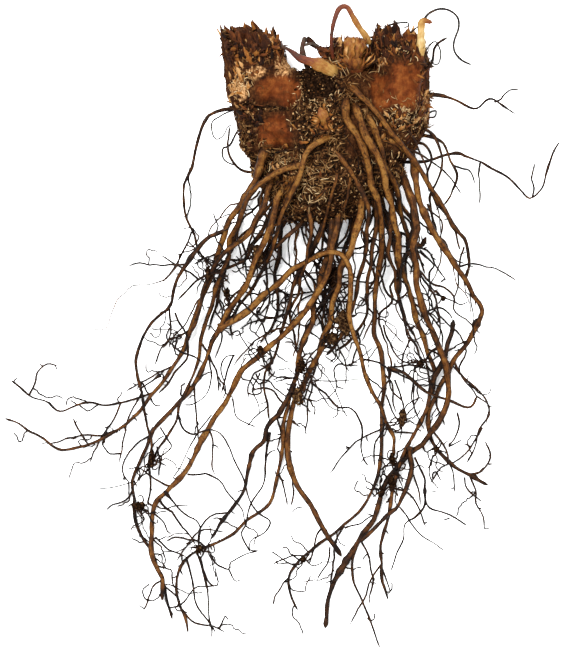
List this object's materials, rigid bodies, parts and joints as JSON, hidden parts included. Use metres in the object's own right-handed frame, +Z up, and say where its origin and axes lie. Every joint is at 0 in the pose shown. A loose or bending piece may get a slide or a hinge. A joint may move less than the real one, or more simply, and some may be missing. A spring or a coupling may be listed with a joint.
{
  "type": "bare-root perennial plant",
  "caption": "Bare-root astilbe lying on its back: a woody crown with stubby old stem bases, buds and pale shoots, and a fan of long brown roots.",
  "frame": {"origin": "middle of the flat spot on the underside of the crown that the plant lies on", "axes": "+Y from the root tips to the shoots, +X to the right seen from above, +Z up from the surface"},
  "size_m": [0.1671, 0.1924, 0.0279],
  "materials": {
    "bark": "matt red-brown bark with tan patches, dark torn leaf bases and soil in the hollows",
    "root_skin": "satin ochre-brown skin, darker to near black on thin roots",
    "shoot_skin": "smooth pale yellow with red-brown tips",
    "peat": "crumbly matt black-brown peat with straw-coloured fibres"
  },
  "bodies": {
    "root": {"bud_front": "shoot_skin", "bud_red_tip": "shoot_skin", "bud_sheath": "shoot_skin", "crown": "bark", "peat_dark": "peat", "peat_fibrous": "peat", "root_01": "root_skin", "root_02": "root_skin", "root_03": "root_skin", "root_04": "root_skin", "root_05": "root_skin", "root_06": "root_skin", "root_07": "root_skin", "root_08": "root_skin", "root_09": "root_skin", "root_10": "root_skin", "root_11": "root_skin", "root_12": "root_skin", "root_13": "root_skin", "root_14": "root_skin", "root_15": "root_skin", "root_16": "root_skin", "root_17": "root_skin", "root_18": "root_skin", "root_19": "root_skin", "root_20": "root_skin", "root_21": "root_skin", "root_22": "root_skin", "root_23": "root_skin", "root_24": "root_skin", "root_25": "root_skin", "root_26": "root_skin", "root_27": "root_skin", "root_28": "root_skin", "root_29": "root_skin", "root_30": "root_skin", "root_31": "root_skin", "root_32": "root_skin", "root_33": "root_skin", "root_34": "root_skin", "root_35": "root_skin", "root_36": "root_skin", "shoot_folded": "shoot_skin", "shoot_pale": "shoot_skin", "stalk_stub": "shoot_skin"}
  },
  "joints": []
}
